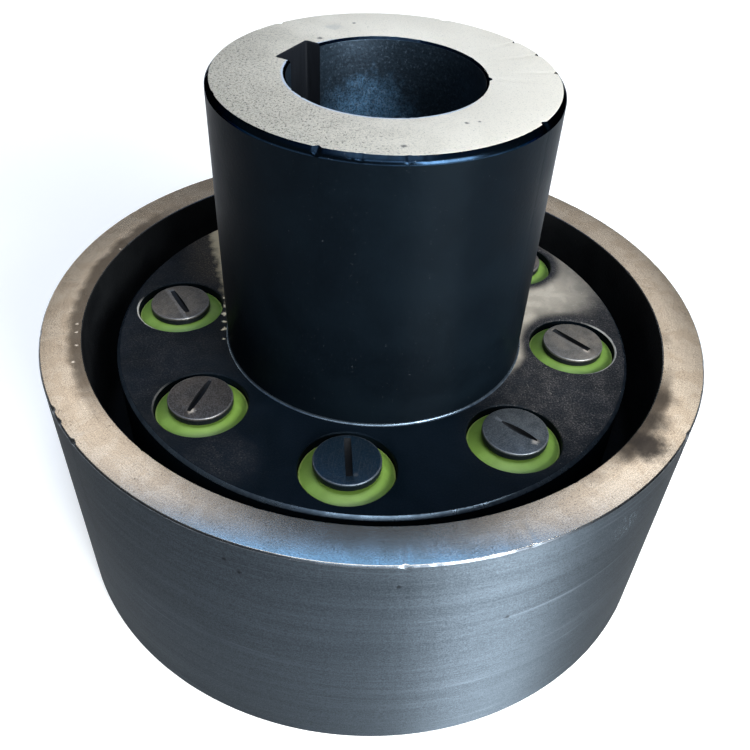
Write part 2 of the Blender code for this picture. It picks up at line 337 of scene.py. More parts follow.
@sharedEffect(distance=0, width=1, ragged=0.6, grain=2)
def edgeWearAndHighlight(place, distance, width, ragged, grain):
    # 1 on an edge, ragged, and 0 further from it than the width
    share = calc("ABSOLUTE", distance) / width + shifted(place, grain, 3, ragged * 4)
    return ease(share, 1, 0.45)


@sharedEffect(spot=(0, 0, 0), reach=10, ragged=0.5, grain=6)
def patch(place, spot, reach, ragged, grain):
    # a soft ragged patch about one spot
    share = vector("DISTANCE", place, spot, "Value") / reach + shifted(place, grain, 4, ragged * 3)
    return ease(share, 1, 0.2)


@sharedEffect(angle=0, length=12, width=0.25, amount=0.3)
def scratches(place, angle, length, width, amount):
    # thin straight scratches along one direction in the XY plane
    x, y, z = axesOf(rotated(place, angle))
    thin = addNode(place.tree, "CombineXYZ", {0: x / length, 1: y / width, 2: z})
    level = 0.78 - amount * 0.2
    return ease(noise(thin, 1, 1, 0.4), level, level + 0.05)


def spotted(shade, place, height, spots, ragged, grain, tint):
    # puts spots on a level face at a height: x, y, reach and strength of each
    for x, y, reach, strength in spots:
        spot = patch(place, spot=(x, y, height), reach=reach, ragged=ragged, grain=grain)
        shade = mixed(spot * strength, shade, tint)
    return shade


def bump(height, depth):
    # depth is the height in millimetres that a value of 1 stands for
    return addNode(height.tree, "Bump", {"Height": height, "Distance": depth * mm, "Strength": 1})


def startMaterial(name):
    # an empty material, and the object's place in millimetres
    material = bpy.data.materials.new(name)
    material.use_nodes = True
    tree = material.node_tree
    tree.nodes.clear()
    place = addNode(tree, "TexCoord", output="Object")
    return material, addNode(tree, "Mapping", {"Vector": place, "Scale": (1 / mm, 1 / mm, 1 / mm)})


def shaded(material, shade, roughness, relief=None, others=None):
    tree = material.node_tree
    values = {"Base Color": shade, "Roughness": roughness, **(others or {})}
    if relief:
        values["Normal"] = relief
    newNode(tree, "OutputMaterial", {"Surface": addNode(tree, "BsdfPrincipled", values)})
    return material


print("shared effects ready")


# Brake drum half, and its finishes: turned side, faced rim, black cast inside

drumSettings = {
    "turns": 600, "wall": 19, "topChamfer": 0.75, "innerChamfer": 0.4, "footChamfer": 2.5, "draft": 1.5,
    "webTop": 68, "webBottom": 36, "topFillet": 6, "castFillet": 8,
    "bossRadius": 72, "bossFace": 2.5, "bossChamfer": 1.5, "bore": 40, "boreChamfer": 2.1,
    "seatTop": 10.3, "seatBottom": 8.7, "seatTurns": 48,
    "knownNicks": ((-147.2, 0.9, 2), (-144.2, 0.9, 1.6), (-139, 1, 1.8), (-84, 0.7, 1.2),
                   (-66, 0.5, 1.2), (-30.3, 0.6, 2), (96, 0.7, 3)),
}


def makeDrumSide():
    s = {
        # the side's steel is coloured far darker than the rim's top of the same steel: painted shade, standing in for
        # the dark ground it reflects
        "dark": (0.033, 0.041, 0.049), "light": (0.077, 0.094, 0.111), "thread": (0.128, 0.152, 0.178),
        "pit": (0.012, 0.013, 0.015),
        "broadSpacing": 9, "middleSpacing": 2.2, "fineSpacing": 0.5, "threadSpacing": 3.4,
        "knocks": ((-45.2, -150.9, 115.7), (-50.7, -149.1, 120.9), (14.8, -156.8, 119.9), (60.2, -145.5, 87.6)),
        "scuff": (108, -114.5, 113), "scuffReach": 11,
    }
    material, place = startMaterial("turnedDrumSide")
    level = ringPlace(place)[1]
    broad = turningLines(place, across=level, spacing=s["broadSpacing"], breaks=0.9)
    middle = turningLines(place, across=level, spacing=s["middleSpacing"], breaks=1.6)
    fine = turningLines(place, across=level, spacing=s["fineSpacing"], breaks=30)
    grain = noise(place, 1.5, 3, 0.75)
    lines = broad * 0.15 + middle * 0.15 + fine * 0.15 + grain * 0.55
    shade = mixed(ease(lines, 0.36, 0.64), s["dark"], s["light"])
    threads = turningLines(place, across=level, spacing=s["threadSpacing"], breaks=1.1)
    shade = mixed(ease(threads, 0.6, 0.72, 0, 0.5), shade, s["thread"])
    pits = specks(place, size=1.1, amount=0.015)
    for spot in s["knocks"]:
        knock = patch(place, spot=spot, reach=1.5, ragged=0.4, grain=1)
        pits = calc("MAXIMUM", pits, knock)
    shade = mixed(pits * 0.85, shade, s["pit"])
    scuff = patch(place, spot=s["scuff"], reach=s["scuffReach"], ragged=0.4, grain=4)
    flecks = specks(place, size=1.3, amount=0.34, softness=0.1)
    shade = mixed(scuff * flecks * 0.7, shade, (0.34, 0.41, 0.48))
    height = (fine + grain) * 0.6 - pits
    return shaded(material, shade, ease(lines, 0.35, 0.65, 0.6, 0.57), bump(height, 0.015), {
        "Metallic": 1, "Specular Tint": (0.72, 0.69, 0.66), "Anisotropic": 0.9, "Anisotropic Rotation": 0.25})


def makeRimTop():
    s = {
        # the warm beige is partly the face's own colour and partly painted warm reflection, lighter than the side of
        # the same steel
        "beige": (0.63, 0.55, 0.455), "pale": (0.7, 0.63, 0.54), "stain": (0.1, 0.072, 0.05),
        "soot": (0.03, 0.027, 0.026), "chip": (0.68, 0.64, 0.59),
        # x, y, reach and strength of each mark
        "smudges": ((116.5, -87.5, 14, 0.97), (108.5, -95, 7, 0.45), (124, -73, 10, 0.65), (131, -58, 8, 0.4)),
        "browns": ((-136, -46, 7, 0.2), (-123, -68, 6, 0.25), (91, -108, 6, 0.25), (139, -14, 6, 0.25)),
        "chips": ((-138.6, -26.8, 1, 1), (-137, -33.1, 1, 1), (-134.3, -42.2, 1, 1), (-132.5, -54.2, 1, 1),
                  (-134.6, 38.5, 1, 1)),
    }
    material, place = startMaterial("facedRimSteel")
    radius, level, turn = ringPlace(place)
    patches = mottle(place, size=9, contrast=0.2)
    shade = mixed(patches, s["beige"], s["pale"])
    lines = turningLines(place, across=radius, spacing=0.8, breaks=4)
    shade = mixed(ease(lines, 0.35, 0.75, 0, 0.1), shade, s["stain"], "MULTIPLY")
    grain = noise(place, 1.5, 3, 0.75)
    shade = mixed(ease(grain, 0.6, 0.36, 0, 0.34), shade, s["stain"])
    crowd = mottle(place, size=12, contrast=0.3)
    small = specks(place, size=0.9, amount=ease(crowd, 0.3, 1, 0.12, 0.34), softness=0.12)
    shade = mixed(small * 0.5, shade, s["stain"])
    dots = specks(place, size=1.7, amount=0.03, softness=0.05)
    shade = mixed(dots * 0.75, shade, s["soot"])
    # dirt creeps in from the inner edge, lightly on the left and thick on the right
    fromInside = radius - (drumHigh.x - drumSettings["wall"])
    leftEdge = ease(calc("ABSOLUTE", turn), 136, 156, 0, 0.8)
    rightEdge = ease(turn, -47, -40, 0, 0.9) * ease(turn, -12, -24)
    creep = edgeWearAndHighlight(place, distance=fromInside, width=8.5, ragged=0.18, grain=9)
    creep = creep * calc("MAXIMUM", leftEdge, rightEdge)
    shade = mixed(creep, shade, (0.05, 0.041, 0.034))
    shade = spotted(shade, place, drumHigh.z, s["browns"], 0.5, 5, s["stain"])
    shade = spotted(shade, place, drumHigh.z, s["smudges"], 0.3, 5, s["soot"])
    shade = spotted(shade, place, drumHigh.z, s["chips"], 0.9, 0.9, s["chip"])
    return shaded(material, shade, ease(lines, 0.3, 0.7, 0.245, 0.265), bump(lines, 0.003), {"Metallic": 0.95})


def makeRimEdge():
    # the narrow chamfers, rubbed bright
    material, place = startMaterial("rubbedEdgeSteel")
    rub = mottle(place, size=5, contrast=0.5)
    shade = mixed(rub, (0.06, 0.068, 0.08), (0.145, 0.162, 0.18))
    # darker at the front right: painted shade, dimming the right lamp's reflection on the chamfers there
    turn = ringPlace(place)[2]
    paintedShadeFrontRight = ease(turn, -78, -66) * ease(turn, -30, -42)
    shade = mixed(paintedShadeFrontRight * 0.8, shade, (0.016, 0.018, 0.021))
    return shaded(material, shade, ease(rub, 0, 1, 0.32, 0.24), None, {"Metallic": 1})


def makeDrumInside():
    # black paint over a cast skin
    material, place = startMaterial("blackCastInside")
    grains = noise(place, 0.9, 4, 0.6)
    patches = mottle(place, size=25, contrast=0.5)
    shade = mixed(patches, (0.0022, 0.0025, 0.003), (0.006, 0.0065, 0.007))
    dust = specks(place, size=1.6, amount=0.05)
    shade = mixed(dust * 0.15, shade, (0.09, 0.08, 0.065))
    return shaded(material, shade, ease(grains, 0.3, 0.7, 0.5, 0.62), bump(grains, 0.25), {"Specular IOR Level": 0.1})


def makeBoreSteel(name):
    # oiled bore: dark and bluish, with a painted bluish sheen and lighter specks low on the far wall, standing in for
    # a reflection of the sky
    s = {"paintedSheen": (-9, 39, 204), "paintedSheenReach": 30}
    material, place = startMaterial(name)
    level = ringPlace(place)[1]
    lines = turningLines(place, across=level, spacing=1.4, breaks=3)
    grain = noise(place, 1.2, 3, 0.75)
    tone = lines * 0.3 + grain * 0.7
    shade = mixed(ease(tone, 0.35, 0.65), (0.011, 0.019, 0.029), (0.022, 0.038, 0.057))
    dots = specks(place, size=1.2, amount=0.36, softness=0.2)
    # painted reflection: a bluish patch on the far wall, with the specks mostly inside it
    paintedSheenField = patch(place, spot=s["paintedSheen"], reach=s["paintedSheenReach"], ragged=0.25, grain=4)
    shade = mixed(paintedSheenField * ease(grain, 0.38, 0.6, 0.3, 1), shade, (0.14, 0.31, 0.52))
    shade = mixed(dots * ease(paintedSheenField, 0, 1, 0.15, 0.75), shade, (0.26, 0.36, 0.47))
    return shaded(material, shade, ease(dots, 0, 1, 0.4, 0.52), bump(lines + dots, 0.03), {"Metallic": 0.75})


def makeKeywayBlack():
    material, place = startMaterial("keywayBlack")
    streaks = vector("MULTIPLY", place, (1.2, 1.2, 0.06))
    marks = noise(streaks, 1, 3, 0.6)
    shade = mixed(marks, (0.001, 0.0015, 0.0025), (0.006, 0.0075, 0.0105))
    return shaded(material, shade, ease(marks, 0.3, 0.7, 0.55, 0.65), bump(marks, 0.08), {"Specular IOR Level": 0.15})


boreSteel, keywayBlack, rubbedEdge = makeBoreSteel("oiledBore"), makeKeywayBlack(), makeRimEdge()
drumFinishes = {"side": makeDrumSide(), "top": makeRimTop(), "edge": rubbedEdge, "paint": makeDrumInside(),
                "bore": boreSteel, "keyway": keywayBlack}

# The keyway is one groove through both halves

keySettings = {"inside": 20, "width": 22, "floor": 45.4, "corner": 0.8, "lead": 0.5, "angle": 152}


def keywayCutter(name, low, high, finishes):
    # a round-cornered bar from inside the bore to the keyway's floor, flared where it leaves each face
    half, floor, corner = keySettings["width"] / 2, keySettings["floor"], keySettings["corner"]
    inside, lead, past, steps = keySettings["inside"], keySettings["lead"], 2, 4
    bm = bmesh.new()
    rings = []
    for height, flare in ((low - past, lead + past), (low + lead, 0), (high - lead, 0), (high + past, lead + past)):
        section = [(inside, -half - flare)]
        for side in (-1, 1):
            for step in range(steps + 1):
                turn = pi / 2 / steps * (step if side < 0 else steps - step)
                section.append((floor - corner + (corner + flare) * sin(turn),
                                side * (half - corner + (corner + flare) * cos(turn))))
        section.append((inside, half + flare))
        rings.append([bm.verts.new((x * mm, y * mm, height * mm)) for x, y in section])
    for lower, upper in zip(rings, rings[1:]):
        for index in range(len(lower)):
            bm.faces.new((lower[index - 1], lower[index], upper[index], upper[index - 1]))
    bm.faces.new(list(reversed(rings[0])))
    bm.faces.new(rings[-1])
    return finishedCutter(name, bm, finishes, "keyway", radians(keySettings["angle"]))


def makeDrum():
    s = drumSettings
    outer, top, foot = drumHigh.x, drumHigh.z, drumLow.z
    inner = outer - s["wall"]
    mouth = inner + s["draft"]
    chamfer, lip = s["topChamfer"], s["innerChamfer"]
    outline = roundedOutline([
        (s["bore"], s["bossFace"] + s["boreChamfer"], 0.25, "edge"),
        (s["bore"] + s["boreChamfer"], s["bossFace"], 0.25, "edge"),
        (s["bossRadius"] - s["bossChamfer"], s["bossFace"], 0.4, "paint"),
        (s["bossRadius"], s["bossFace"] + s["bossChamfer"], 0.4, "paint"),
        (s["bossRadius"], s["webBottom"], s["castFillet"], "paint"),
        (inner, s["webBottom"], s["castFillet"], "paint"),
        (mouth, foot + lip, 0.15, "edge"),
        (mouth + lip, foot, 0.15, "edge"),
        (outer - s["footChamfer"], foot, 0.5, "edge"),
        (outer, foot + s["footChamfer"], 0.5, "side"),
        (outer, top - chamfer, 0.3, "edge"),
        (outer - chamfer, top, 0.3, "top"),
        (inner + lip, top, 0.15, "edge"),
        (inner, top - lip, 0.15, "paint"),
        (inner, s["webTop"], s["topFillet"], "paint"),
        (s["bore"] + s["boreChamfer"], s["webTop"], 0, "edge"),
        (s["bore"], s["webTop"] - s["boreChamfer"], 0, "bore"),
    ])
    zone = 2.5  # of the rim's edges, where the knocks are
    nickAt = edgeNicks(7, 34, 0.4, 2.4, s["knownNicks"])
    innerNickAt = edgeNicks(11, 30, 0.4, 2.2)

    def knocked(radius, height, angle):
        if height > top - zone and radius > outer - zone:
            nick = nickAt(angle, outer)
            down = min(max((radius - outer + chamfer) / chamfer, 0), 1)
            return radius - nick * (1 - down), height - nick * down
        if height > top - zone and radius < inner + zone:
            nick = innerNickAt(angle, inner)
            down = min(max((inner + lip - radius) / lip, 0), 1)
            return radius + nick * (1 - down), height - nick * down
        return radius, height

    drum = newObject("brakeDrum", turnedMesh("brakeDrum", outline, s["turns"], drumFinishes, knocked))
    past, slope = 3, (s["seatTop"] - s["seatBottom"]) / (s["webTop"] - s["webBottom"])
    over, under = s["webTop"] + past, s["webBottom"] - past
    seatOutline = [(0, over, "paint"), (0, under, "paint"), (s["seatBottom"] - past * slope, under, "paint"),
                   (s["seatTop"] + past * slope, over, "paint")]
    seat = turnedMesh("taperSeat", seatOutline, s["seatTurns"], drumFinishes)
    cutAway(drum, newObject("taperSeats", joinedCopies("taperSeats", seat, pinMoves)))
    cutAway(drum, keywayCutter("drumKey", s["bossFace"], s["webTop"], drumFinishes))
    return dressed(drum, "brake_drum_half")


makeDrum()
print("brake drum ready")


# Finishes of the hub half

hubSettings = {
    "turns": 640, "radius": 72, "topChamfer": 2, "rootFillet": 0.9, "flangeThickness": 47,
    "flangeChamfer": 1.6, "bore": 40, "boreChamfer": 2.1, "topBoreChamfer": 1, "hole": 21, "holeChamfer": 0.5,
    "holeTurns": 96,
    "knownNicks": ((37.7, 2, 1.6), (24.4, 1.8, 1.8), (8.2, 1.5, 1.4), (-32.9, 1.3, 1.6), (-108.2, 1.1, 1.4),
                   (133.6, 1.4, 1.6), (69.5, 1.2, 2.2)),
}


def makeHubPaint():
    s = {"black": (0.0013, 0.0024, 0.0037), "grey": (0.0021, 0.0039, 0.0058), "dot": (0.05, 0.055, 0.06)}
    material, place = startMaterial("blackHubPaint")
    patches = mottle(place, size=30, contrast=0.5)
    shade = mixed(patches, s["black"], s["grey"])
    dots = specks(place, size=1.2, amount=0.01)
    shade = mixed(dots * 0.6, shade, s["dot"])
    peel = noise(place, 0.55, 2, 0.5)
    return shaded(material, shade, ease(patches, 0, 1, 0.38, 0.44), bump(peel, 0.05), {
        "Specular IOR Level": 0.023, "Specular Tint": (0.66, 0.84, 1), "Anisotropic": 0.85,
        "Anisotropic Rotation": 0.25})


def makeHubEdge(name, dark, light, metallic, roughness):
    # the narrow edges, where the paint is smooth and shines
    material, place = startMaterial(name)
    rub = mottle(place, size=6, contrast=0.5)
    shade = mixed(rub, dark, light)
    chips = specks(place, size=0.9, amount=0.05)
    shade = mixed(chips * 0.4, shade, (0.3, 0.34, 0.38))
    return shaded(material, shade, ease(rub, 0, 1, roughness + 0.06, roughness), None, {
        "Metallic": metallic, "Specular Tint": (0.1, 0.12, 0.15)})


def distanceToPin(radius, turn):
    # millimetres to the axis of the nearest pin
    sector = 360 / pinCount
    offset = turn - (firstPinAngle - sector / 2 - 720)
    offset = calc("MODULO", offset, sector) - sector / 2
    reachCos = calc("COSINE", offset * pi / 180)
    square = radius * radius + pinCircle ** 2
    square = square - radius * reachCos * 2 * pinCircle
    return calc("SQRT", calc("MAXIMUM", square, 0))


def makeFlangePaint():
    # the top of the flange: black under dust and grit, with a painted golden reflection over rubbed paint at the back
    # beside the hub
    s = {
        "black": (0.001, 0.0026, 0.0045), "grey": (0.0025, 0.0048, 0.008), "dust": (0.17, 0.15, 0.138),
        "goldenWearAndReflection": (0.38, 0.33, 0.262), "brown": (0.13, 0.1, 0.068), "ochre": (0.4, 0.32, 0.2),
        "worn": (0.5, 0.47, 0.42), "crumb": (0.8, 0.69, 0.48),
        # x, y and reach of each crumb
        "crumbs": ((-77.5, 17, 1.1), (-76, 10, 1.7), (-78.5, 7, 0.9), (-75.5, 3.5, 2.1), (-74.2, -3, 1.2),
                   (-73.6, -9, 1.7), (-72.4, -17, 1)),
    }
    material, place = startMaterial("dustyFlangePaint")
    flangeTop = hubLow.z + hubSettings["flangeThickness"]
    radius, level, turn = ringPlace(place)
    x, y, z = axesOf(place)
    patches = mottle(place, size=30, contrast=0.5)
    shade = mixed(patches, s["black"], s["grey"])
    # grit, thick on the right and thin on the left and before the second pin
    rightSide = ease(x, 35, 85) * ease(y, -104, -62)
    leftSide = ease(x, -48, -100, 0, 0.24)
    leftPatch = patch(place, spot=(-63, -98, flangeTop), reach=24, ragged=0.3, grain=9)
    dusty = calc("MAXIMUM", calc("MAXIMUM", rightSide, leftSide), leftPatch * 0.3)
    film = mottle(place, size=8, contrast=0.4)
    grit = ease(noise(place, 1.1, 5, 0.85), 0.46, 0.68)
    dusty = dusty * ease(film, 0, 1, 0.45, 1)
    shade = mixed(dusty * ease(grit, 0, 1, 0.1, 0.72), shade, s["dust"])
    specky = specks(place, size=1, amount=ease(dusty, 0, 1, 0, 0.1))
    shade = mixed(specky * ease(dusty, 0, 0.3, 0, 0.7), shade, s["worn"])
    # painted golden reflection over rubbed paint, from behind the fifth pin round the back, and narrowing along the
    # hub's foot
    edgeTurn = ease(radius, 69, 87, -28, 5) + ease(radius, 87, 124, 0, 7)
    wander = (noise(place, 0.07, 3) - 0.5) * 9
    beyond = turn - edgeTurn + wander
    goldenWearAndReflection = ease(beyond, -4, 14) * ease(turn, 120, 100)
    goldenWearAndReflection = goldenWearAndReflection * ease(radius, 128, 100, 0.3, 1)
    toPin = distanceToPin(radius, turn)
    goldenWearAndReflection = goldenWearAndReflection * ease(toPin, 22.5, 29) * ease(film, 0, 1, 0.8, 1)
    shade = mixed(goldenWearAndReflection * ease(grit, 0, 1, 1, 0.75), shade, s["goldenWearAndReflection"])
    # on the left the painted reflection over rubbed paint ends along a straight line, with a brown painted reflection
    # before it
    beside = (x + 93) * 0.955 + (y - 75) * 0.297
    beside = beside + (noise(place, 0.2, 4, 0.6) - 0.5) * 9
    onLeft = ease(x, -60, -68)
    brownWearAndReflection = ease(beside, -24, -4) * ease(y, 20, 38) * onLeft
    shade = mixed(brownWearAndReflection * ease(grit, 0, 1, 0.12, 0.8), shade, s["brown"])
    ochreWearAndReflection = ease(beside, -4.5, 1) * ease(y, -4, 14) * onLeft
    shade = mixed(ochreWearAndReflection * 0.85, shade, s["ochre"])
    # worn crescents on the mouths of the bush holes, at the sides
    mouth = hubSettings["hole"] + hubSettings["holeChamfer"] / 2
    mouthEdge = edgeWearAndHighlight(place, distance=toPin - mouth, width=0.6, ragged=0.35, grain=3)
    sideways = ease(calc("ABSOLUTE", x), 74, 112) * ease(radius, 103, 113)
    sideways = sideways * ease(y, 15, 3) * ease(y, -80, -20)
    mouthEdge = mouthEdge * sideways
    shade = mixed(mouthEdge, shade, s["worn"])
    # bright crumbs along the hub's root on the left
    metal = mouthEdge
    for x, y, reach in s["crumbs"]:
        crumb = patch(place, spot=(x, y, flangeTop), reach=reach, ragged=0.95, grain=1.3)
        shade = mixed(crumb, shade, s["crumb"])
        metal = calc("MAXIMUM", metal, crumb)
    return shaded(material, shade, ease(dusty, 0, 1, 0.4, 0.55), bump(grit, 0.04), {
        "Metallic": metal * 0.5, "Specular IOR Level": 0.07, "Specular Tint": (0.62, 0.84, 1)})


def makeHubFace():
    s = {
        "pale": (0.765, 0.705, 0.598), "grey": (0.445, 0.408, 0.333), "pore": (0.04, 0.043, 0.045),
        "smudge": (-24.3, 49, 245), "smudgeReach": 5.5,
        "marks": ((-15.8, 55.3, 1.2), (-29.3, 34.8, 1.8), (-43.7, 11.2, 1.6), (30.3, -41.7, 1.2), (35, -40, 0.9),
                  (7.6, -62.8, 1.6)), "markStrength": 0.85,
    }
    material, place = startMaterial("paleHubFace")
    x, y, z = axesOf(place)
    patches = mottle(place, size=14, contrast=0.1)
    # greyer towards the left and front: the grey is painted shade, and the denser pores there are the face's own
    toLeft = x + y * 0.5 + patches * 8
    toLeft = ease(toLeft, 40, -84)
    shade = mixed(toLeft * 0.85, s["pale"], s["grey"])
    pores = specks(place, size=1, amount=ease(toLeft, 0, 1, 0.12, 0.27), softness=0.03)
    tiny = specks(place, size=0.45, amount=ease(toLeft, 0, 1, 0.28, 0.42))
    shade = mixed(tiny * ease(toLeft, 0, 1, 0.22, 0.42), shade, s["pore"])
    shade = mixed(pores * ease(toLeft, 0, 1, 0.4, 0.95), shade, s["pore"])
    smudge = patch(place, spot=s["smudge"], reach=s["smudgeReach"], ragged=0.5, grain=3)
    shade = mixed(smudge * 0.4, shade, (0.36, 0.37, 0.36))
    marks = [(*mark, s["markStrength"]) for mark in s["marks"]]
    shade = spotted(shade, place, hubHigh.z, marks, 0.5, 1, s["pore"])
    # a painted bluish highlight along the near edge of the bore, on its front left
    radius = ringPlace(place)[0]
    lip = edgeWearAndHighlight(place, distance=radius - (hubSettings["bore"] + hubSettings["topBoreChamfer"]),
                   width=1.2, ragged=0.2, grain=3)
    lip = lip * ease(x + y, 22, -6)
    shade = mixed(lip, shade, (0.46, 0.53, 0.62))
    holes = pores + tiny * 0.5
    return shaded(material, shade, ease(patches, 0, 1, 0.5, 0.56), bump(1 - holes, 0.05), {"Metallic": 0.35})


hubFinishes = {"paint": makeHubPaint(), "flange": makeFlangePaint(), "face": makeHubFace(),
               "shine": makeHubEdge("shinyEdgePaint", (0.006, 0.012, 0.021), (0.01, 0.021, 0.038), 1, 0.17),
               "rubbed": makeHubEdge("rubbedEdgePaint", (0.075, 0.1, 0.13), (0.155, 0.2, 0.245), 0.9, 0.26),
               "edge": rubbedEdge, "bore": boreSteel, "keyway": keywayBlack}


# Hub half: flange and long hub in one

def makeHub():
    s = hubSettings
    low, top, flangeRadius = hubLow.z, hubHigh.z, hubHigh.x
    flangeTop = low + s["flangeThickness"]
    radius, chamfer, flangeChamfer = s["radius"], s["topChamfer"], s["flangeChamfer"]
    outline = roundedOutline([
        (s["bore"], low + s["boreChamfer"], 0, "edge"),
        (s["bore"] + s["boreChamfer"], low, 0, "paint"),
        (flangeRadius - flangeChamfer, low, 0.4, "paint"),
        (flangeRadius, low + flangeChamfer, 0.4, "paint"),
        (flangeRadius, flangeTop - flangeChamfer, 0.5, "rubbed"),
        (flangeRadius - flangeChamfer, flangeTop, 0.5, "flange"),
        (radius, flangeTop, s["rootFillet"], "rubbed"),
        (radius, flangeTop + s["rootFillet"] + 0.1, 0, "paint"),
        (radius, top - chamfer, 2.5, "shine"),
        (radius - chamfer, top, 0.25, "face"),
        (s["bore"] + s["topBoreChamfer"], top, 0.2, "shine"),
        (s["bore"], top - s["topBoreChamfer"], 0.2, "bore"),
    ], steps=4)
    zone, boreZone, boreDepth = 2.6, 3.5, 0.5  # of the two edges, where the knocks are
    nickAt = edgeNicks(5, 30, 0.45, 1.3, s["knownNicks"])
    boreNickAt = edgeNicks(3, 24, 0.4, 1.2, ((0, 1.2, 1.8),))

    def knocked(r, height, angle):
        if height > top - zone and r > radius - zone:
            nick = nickAt(angle, radius)
            down = min(max((r - radius + chamfer) / chamfer, 0), 1)
            return r - nick * (1 - down), height - nick * down * 0.6
        if height > top - boreDepth and r < s["bore"] + boreZone:
            return r + boreNickAt(angle, r), height
        return r, height

    hub = newObject("hubHalf", turnedMesh("hubHalf", outline, s["turns"], hubFinishes, knocked))
    hole, lead, past = s["hole"], s["holeChamfer"], 2
    flared, over, under = hole + lead + past, flangeTop + past, low - past
    holeOutline = [(0, over, "paint"), (0, under, "paint"), (flared, under, "paint"), (hole, low + lead, "paint"),
                   (hole, flangeTop - lead, "flange"), (flared, over, "paint")]
    tool = turnedMesh("bushHole", holeOutline, s["holeTurns"], hubFinishes)
    cutAway(hub, newObject("bushHoles", joinedCopies("bushHoles", tool, pinMoves)))
    cutAway(hub, keywayCutter("hubKey", low, top, hubFinishes))
    return dressed(hub, "hub_half")


makeHub()
print("hub half ready")


# Pins with slotted heads; each has its own tone, partly painted reflection, slot and marks

pinSettings = {
    "turns": 96, "head": 14.5, "headThickness": 3.6, "headRounding": 0.55, "shank": 10, "taperEnd": 8.4, "thread": 8,
    "pitch": 2, "threadDepth": 1.1, "endChamfer": 1,
    "slotWidth": 3.1, "slotDepth": 2.2,
    "slotTurns": (122.8, 74.4, 95.4, 143, 136.8, 64, 18, 103),
    "slotLengths": (20.4, 21.5, 22, 18, 21.4, 20.5, 20.5, 20.5),
    "slotShifts": ((-0.3, 0.4), (-0.5, 0.9), (0.4, 1.6), (1.6, 0), (-0.7, 1.5), (0.3, 0.5), (-0.4, 0.2), (0.5, -0.3)),
    "slotTapers": (0.3, 0.5, 0.1, 0.8, 0.1, 0.3, 0.4, 0.3),
    "rises": (0, 1.4, 2.3, 1.6, 0, 0, 0, 0),
    # head tones: partly each head's own and partly painted reflection; the third head's blue stands in for the sky's
    # reflection
    "tones": ((0.128, 0.113, 0.096), (0.066, 0.056, 0.05), (0.014, 0.042, 0.074),
              (0.084, 0.099, 0.111), (0.235, 0.212, 0.18), (0.16, 0.14, 0.125),
              (0.13, 0.115, 0.105), (0.18, 0.155, 0.14)),
    # x, y, reach and strength of the brightest chip on each head
    "chips": ((4, -8, 1.5, 0.3), (-2.3, -9.2, 2.6, 0.9), (4, -8.2, 1.6, 0.12), (8, -6, 2.4, 0.6),
              (5.8, -6.6, 2.2, 1), (-6, -8, 1.5, 0.6), (5, 3, 1.5, 0.6), (-3, 9, 1.5, 0.6)),
    # a rubbed band beside each slot: how far from it, and how strong
    "bands": ((2.2, 0.22), (0, 0), (0, 0), (0, 0), (2.4, 0.1), (0, 0), (0, 0), (0, 0)),
}


def makePinSteel(number):
    s = pinSettings
    top = pinBoxes[number][1].z + s["rises"][number]
    tone = s["tones"][number]
    slotTurn = radians(s["slotTurns"][number])
    bright = tuple(0.35 + 0.45 * value for value in tone)
    material, place = startMaterial(f"pinSteel{number + 1}")
    own = vector("ADD", place, (number * 37, number * 11, 0))
    radius, level, turn = ringPlace(place)
    patches = mottle(own, size=7, contrast=0.5)
    dark = tuple(value * 0.55 for value in tone)
    shade = mixed(patches, dark, tone)
    lines = scratches(own, angle=slotTurn, length=16, width=0.22, amount=0.75)
    shade = mixed(lines * 0.1, shade, bright)
    grain = noise(own, 1.6, 3, 0.75)
    shade = mixed(ease(grain, 0.4, 0.66, 0, 0.08 if number == 2 else 0.2), shade, bright)
    away, strength = s["bands"][number]
    if strength:
        across = axesOf(rotated(place, -slotTurn))[1]
        band = edgeWearAndHighlight(own, distance=across - away, width=1.2, ragged=0.7, grain=2)
        shade = mixed(band * strength, shade, bright)
    spots = specks(own, size=1, amount=0.16)
    shade = mixed(spots * 0.55, shade, (0.02, 0.018, 0.016))
    shade = spotted(shade, place, top, [s["chips"][number]], 0.45, 1.2, (0.62, 0.55, 0.46))
    onEdge = edgeWearAndHighlight(own, distance=radius - (s["head"] - 0.25), width=0.4, ragged=0.5, grain=2)
    onEdge = onEdge * ease(level, top - 0.9, top - 0.4)
    shade = mixed(onEdge * 0.25, shade, bright)
    # below the rounding of the top, the head's side and all under it are coloured dark bluish: painted shade
    side = ease(level, top - 0.9, top - 1.3)
    shade = mixed(side * 0.9, shade, (0.008, 0.013, 0.02))
    height = patches * 0.5 - (spots + lines * 0.4)
    return shaded(material, shade, ease(patches, 0, 1, 0.5, 0.38), bump(height, 0.04), {"Metallic": 0.85})


def slotCutter(number, top, finishes):
    # the slitting saw's path: a lens seen from the side, deepest in the middle, and narrower at its ends
    s = pinSettings
    half, depth = s["slotLengths"][number] / 2, s["slotDepth"]
    shiftX, shiftY = s["slotShifts"][number]
    radius = (half ** 2 + depth ** 2) / (2 * depth)
    reach, steps = half + 0.5, 24
    bm = bmesh.new()
    rings = []
    for step in range(steps + 1):
        x = -reach + 2 * reach * step / steps
        low = top - depth + radius - sqrt(radius ** 2 - x ** 2)
        wide = s["slotWidth"] / 2 * (1 - s["slotTapers"][number] * (x / reach) ** 2)
        section = (-wide, low), (wide, low), (wide, top + 2), (-wide, top + 2)
        rings.append([bm.verts.new((x * mm, y * mm, z * mm)) for y, z in section])
    for here, there in zip(rings, rings[1:]):
        for index in range(4):
            bm.faces.new((here[index - 1], here[index], there[index], there[index - 1]))
    bm.faces.new(list(reversed(rings[0])))
    bm.faces.new(rings[-1])
    cutter = finishedCutter("slot", bm, finishes, "slot", radians(s["slotTurns"][number]))
    cutter.data.transform(Matrix.Translation((shiftX * mm, shiftY * mm, 0)))
    return cutter


